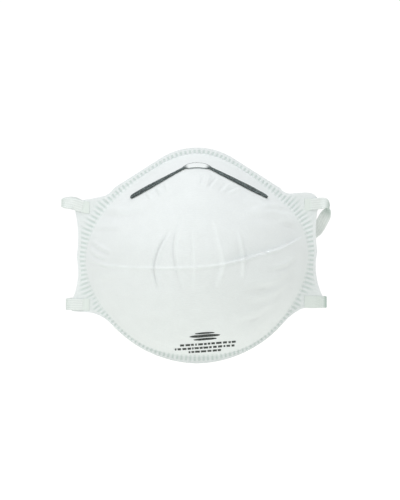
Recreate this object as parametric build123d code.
from build123d import *
from math import cos, radians, sin, sqrt
import os

# Disposable cup-shaped dust mask in millimetres, in the attitude it is worn.
# +Z is up and the front of the cup faces -Y. The origin lies on the mid-plane,
# level with the strap tabs' middle, on the front face of the rim.

# Rim: the webs are pressed together on a cylinder that follows the cheeks.
RIM_RADIUS = 200
RIM_HEIGHT = 130

# Tools that cut outlines out of the webs reach past the whole mask.
REACH_BACK = 40
REACH_FRONT = 70

# Cup: one mould outline, closed towards the front by an elliptical profile,
# and flared a little behind the rim so that its mouth is open at the back.
CUP_DEPTH = 47
CUP_BACK = 26
BACK_FLARE = 1.03
WALL_START = 15
PROFILE_ANGLES = (15, 34, 53, 70, 84)
MEAN_MOUTH_RADIUS = 58
HALF_MOUTH = ((0, 56.6), (16, 52.5), (38.8, 38), (55.4, 21.4), (62.6, 0), (57.7, -20.2),
              (45.5, -37.5), (27, -51), (0, -55.4))

# Flange: nose arc, straight brows and a round chin, with a tab at each corner.
FLANGE_TOP = 60.5
NOSE_RADIUS = 38
NOSE_TURN = 32
BROW_END = (46.5, 38.1)
JAW_END = (47.6, -38.4)
FLANGE_BOTTOM = -59.9

# Webs from the front to the back: start and end below the outer face, on the
# rim where they are pressed thin, and on the cup where they keep their loft.
WEBS = {
    "outer_cover": ((0, 0.40), (0, 0.50)),
    "filter_web": ((0.42, 0.94), (0.55, 1.40)),
    "support_shell": ((0.96, 1.36), (1.45, 2.85)),
    "inner_lining": ((1.38, 1.68), (2.90, 3.30)),
}

# Nose clip: a flat metal strip pressed onto the cup over the bridge of the nose.
CLIP_END = (38, 32.4)
CLIP_SHOULDER = (6.2, 49.8)
CLIP_TOP = (0, 51.7)
CLIP_VISIBLE_WIDTH = 2.6
CLIP_BOND = (-0.32, -0.04)
CLIP_METAL = (-1.22, -0.34)
CLIP_BOND_INSET = 2.4

# Nose foam: a soft bar behind the clip, bonded to the lining.
FOAM_END = (33, 32.5)
FOAM_SHOULDER = (7, 45.5)
FOAM_TOP = (0, 47)
FOAM_VISIBLE_WIDTH = 5.2
FOAM_BOND = (3.33, 3.48)
FOAM_BODY = (3.50, 6.50)
FOAM_BOND_INSET = 3

# Straps: flat elastic, welded to the front of the tabs, folded back behind them.
STRAP_WIDTH = 6.5
STRAP_THICKNESS = 0.9
STRAP_GAP = 0.3
TAIL_LIFT = 0.02
TAIL_START = 60.3

# Each side of a loop: straight lead, fold radius and fold angle past the tab.
RUN_LEAN = (0.3, 1)
UPPER_Z = 29.0
UPPER_DROOP = 22
UPPER_HINGE_X = 69.0
UPPER_LEFT_FOLD = (4.6, 1.9, 165)
UPPER_RIGHT_FOLD = (0.4, 4.4, 122)
UPPER_RUN_END = (56, 62)
UPPER_DEPTH = 86

LOWER_Z = -26.6
LOWER_DROOP = 0
LOWER_HINGE_X = 71.1
LOWER_FOLD = (0.1, 1.0, 90)
LOWER_RUN_END = (50, 62)
LOWER_DEPTH = 84


def mirrored(half):
    """Close a half outline that starts and ends on the mid-plane."""
    return list(half) + [(-x, z) for x, z in reversed(half[1:-1])]


def rim_y(x):
    """How far the rim has curved back at a given distance from the mid-plane."""
    return RIM_RADIUS - sqrt(RIM_RADIUS**2 - x**2)


def cup_section(angle, inset):
    """One closed ring of the cup at a profile angle, inset below the outer face."""
    start = radians(WALL_START)
    phi = radians(angle)
    reach = (CUP_DEPTH - inset) * (sin(phi) - sin(start)) / (1 - sin(start))
    size = cos(phi) / cos(start) * (1 - inset / MEAN_MOUTH_RADIUS)
    curved = angle < PROFILE_ANGLES[-1]
    points = []
    for x, z in mirrored(HALF_MOUTH):
        back = rim_y(x * size) if curved else 0
        points.append((x * size, back - reach, z * size))
    return Wire([Edge.make_spline(points, periodic=True)])


def cup_block(inset):
    """The solid cup, carried straight back behind the rim so the mouth stays open."""
    size = BACK_FLARE * (1 - inset / MEAN_MOUTH_RADIUS)
    base = [(x * size, CUP_BACK, z * size) for x, z in mirrored(HALF_MOUTH)]
    back = Wire([Edge.make_spline(base, periodic=True)])
    rings = [cup_section(angle, inset) for angle in PROFILE_ANGLES]
    return Part() + Solid.make_loft([back] + rings)


def web_block(rim_depth, cup_depth):
    """Everything behind one web face: the rim cylinder and the cup together."""
    rim = Pos(0, RIM_RADIUS, 0) * Cylinder(RIM_RADIUS - rim_depth, RIM_HEIGHT)
    return rim + cup_block(cup_depth)


def flange_outline():
    """The die-cut outline with its four strap tabs."""
    with BuildSketch(Plane.XZ) as sketch:
        with BuildLine():
            nose = CenterArc((0, FLANGE_TOP - NOSE_RADIUS), NOSE_RADIUS, 90, -NOSE_TURN)
            brow = Line(nose @ 1, BROW_END)
            temple = ThreePointArc(brow @ 1, (49.2, 35.4), (53.5, 34.2))
            tab_top = Line(temple @ 1, (62.2, 33.7))
            shoulder = ThreePointArc(tab_top @ 1, (66.8, 31.6), (68.4, 27))
            upper_waist = ThreePointArc(shoulder @ 1, (66.7, 13), (67.6, 1))
            lower_waist = ThreePointArc(upper_waist @ 1, (66.9, -11.5), (71, -24.8))
            tab_side = Line(lower_waist @ 1, (71, -28.2))
            tab_tip = ThreePointArc(tab_side @ 1, (70.6, -29.1), (69.7, -29.5))
            tab_bottom = Line(tab_tip @ 1, (59.5, -30.4))
            jaw = ThreePointArc(tab_bottom @ 1, (53.2, -33.4), JAW_END)
            ThreePointArc(jaw @ 1, (26.6, -53.8), (0, FLANGE_BOTTOM))
            mirror(about=Plane.YZ)
        make_face()
    return sketch.sketch


def prism(outline):
    """An outline in the front view, run through the whole depth of the mask."""
    return extrude(outline, REACH_FRONT) + extrude(outline, -REACH_BACK)


def make_web(outline, rim, cup):
    """One web of the mask, from its front face to its back face."""
    front = web_block(rim[0], cup[0])
    back = web_block(rim[1], cup[1])
    return (outline & front) - back


def bent_strip(end, shoulder, top, width, depths):
    """A strip on the cup wall along straight arms joined by an arch."""
    with BuildSketch(Plane.XZ) as sketch:
        with BuildLine():
            left = Line((-end[0], end[1]), (-shoulder[0], shoulder[1]))
            ThreePointArc(left @ 1, top, shoulder)
            Line(shoulder, end)
        trace(line_width=width)
    ahead = extrude(sketch.sketch, REACH_FRONT)
    return (ahead & cup_block(depths[0])) - cup_block(depths[1])


def shortened(end, shoulder, cut):
    """The end point of an arm after taking a length off it."""
    arm = Vector(shoulder[0] - end[0], shoulder[1] - end[1])
    moved = Vector(end[0], end[1]) + arm.normalized() * cut
    return (moved.X, moved.Y)


def strap_tail(side, level, hinge_x):
    """The welded end, flat on the front of a tab and ending at the fold."""
    front = RIM_RADIUS + TAIL_LIFT
    ring = Cylinder(front + STRAP_THICKNESS, STRAP_WIDTH) - Cylinder(front, STRAP_WIDTH)
    length = hinge_x - TAIL_START
    window = Pos(side * (TAIL_START + length / 2), 0, level) * Box(length, REACH_FRONT, STRAP_WIDTH)
    return (Pos(0, RIM_RADIUS, level) * ring) & window


def hinge_y(hinge_x):
    """Middle of the strap thickness where the fold starts."""
    front = RIM_RADIUS + TAIL_LIFT + STRAP_THICKNESS / 2
    return RIM_RADIUS - sqrt(front**2 - hinge_x**2)


def side_path(side, fold, run_end, hinge_x):
    """Half a loop seen from above: lead, fold and run back to the rear."""
    lead, radius, angle = fold
    start = Line((side * (hinge_x + STRAP_GAP), 0), (side * (hinge_x + STRAP_GAP + lead), 0))
    bend = JernArc(start=start @ 1, tangent=(side, 0), radius=radius, arc_size=side * angle)
    Spline(bend @ 1, (side * run_end[0], run_end[1]),
           tangents=(bend % 1, (-side * RUN_LEAN[0], RUN_LEAN[1])))


def band(draw_path, place):
    """A strap length: the drawn path given its thickness and width."""
    with BuildSketch() as sketch:
        with BuildLine():
            draw_path()
        trace(line_width=STRAP_THICKNESS)
    return place * extrude(sketch.sketch, STRAP_WIDTH / 2, both=True)


def strap_loop(left_fold, right_fold, run_end, depth, hinge_x, level, droop):
    """The free loop in three lengths: left run, right run and rear."""
    place = Pos(0, hinge_y(hinge_x), level) * Rot(-droop, 0, 0)
    corner = (run_end[0] - STRAP_GAP * RUN_LEAN[0], run_end[1] + STRAP_GAP)

    def rear_path():
        Spline((-corner[0], corner[1]), (0, depth), corner,
               tangents=((RUN_LEAN[0], RUN_LEAN[1]), (RUN_LEAN[0], -RUN_LEAN[1])))

    left_run = band(lambda: side_path(-1, left_fold, run_end, hinge_x), place)
    right_run = band(lambda: side_path(1, right_fold, run_end, hinge_x), place)
    return left_run, right_run, band(rear_path, place)


def single_solid(shape):
    """The one solid a part is made of."""
    solids = shape.solids()
    assert len(solids) == 1, f"expected one solid, found {len(solids)}"
    return solids[0]


def build_webs():
    """The four webs of the cup."""
    outline = prism(flange_outline())
    return {name: make_web(outline, rim, cup) for name, (rim, cup) in WEBS.items()}


def build_nose_parts():
    """Clip and its hot-melt line outside, foam and its tape inside."""
    bond_end = shortened(CLIP_END, CLIP_SHOULDER, CLIP_BOND_INSET)
    tape_end = shortened(FOAM_END, FOAM_SHOULDER, FOAM_BOND_INSET)
    return {
        "nose_clip": bent_strip(CLIP_END, CLIP_SHOULDER, CLIP_TOP, CLIP_VISIBLE_WIDTH, CLIP_METAL),
        "nose_clip_bond": bent_strip(bond_end, CLIP_SHOULDER, CLIP_TOP, CLIP_VISIBLE_WIDTH / 2, CLIP_BOND),
        "nose_foam": bent_strip(FOAM_END, FOAM_SHOULDER, FOAM_TOP, FOAM_VISIBLE_WIDTH, FOAM_BODY),
        "nose_foam_tape": bent_strip(tape_end, FOAM_SHOULDER, FOAM_TOP, FOAM_VISIBLE_WIDTH - 2, FOAM_BOND),
    }


def build_strap(name, left_fold, right_fold, run_end, depth, hinge_x, level, droop):
    """One head strap: two welded tails and the loop between them."""
    left_run, right_run, rear = strap_loop(left_fold, right_fold, run_end, depth, hinge_x,
                                           level, droop)
    return {
        f"{name}_strap_left_tail": strap_tail(-1, level, hinge_x),
        f"{name}_strap_right_tail": strap_tail(1, level, hinge_x),
        f"{name}_strap_left_run": left_run,
        f"{name}_strap_right_run": right_run,
        f"{name}_strap_rear": rear,
    }


def build_mask():
    """Every sub-part of the mask by name."""
    parts = build_webs()
    parts.update(build_nose_parts())
    parts.update(build_strap("upper", UPPER_LEFT_FOLD, UPPER_RIGHT_FOLD, UPPER_RUN_END,
                             UPPER_DEPTH, UPPER_HINGE_X, UPPER_Z, UPPER_DROOP))
    parts.update(build_strap("lower", LOWER_FOLD, LOWER_FOLD, LOWER_RUN_END,
                             LOWER_DEPTH, LOWER_HINGE_X, LOWER_Z, LOWER_DROOP))
    return parts


os.makedirs("parts", exist_ok=True)
for part_name, shape in build_mask().items():
    solid = single_solid(shape)
    solid.label = part_name
    export_step(solid, f"parts/{part_name}.step")
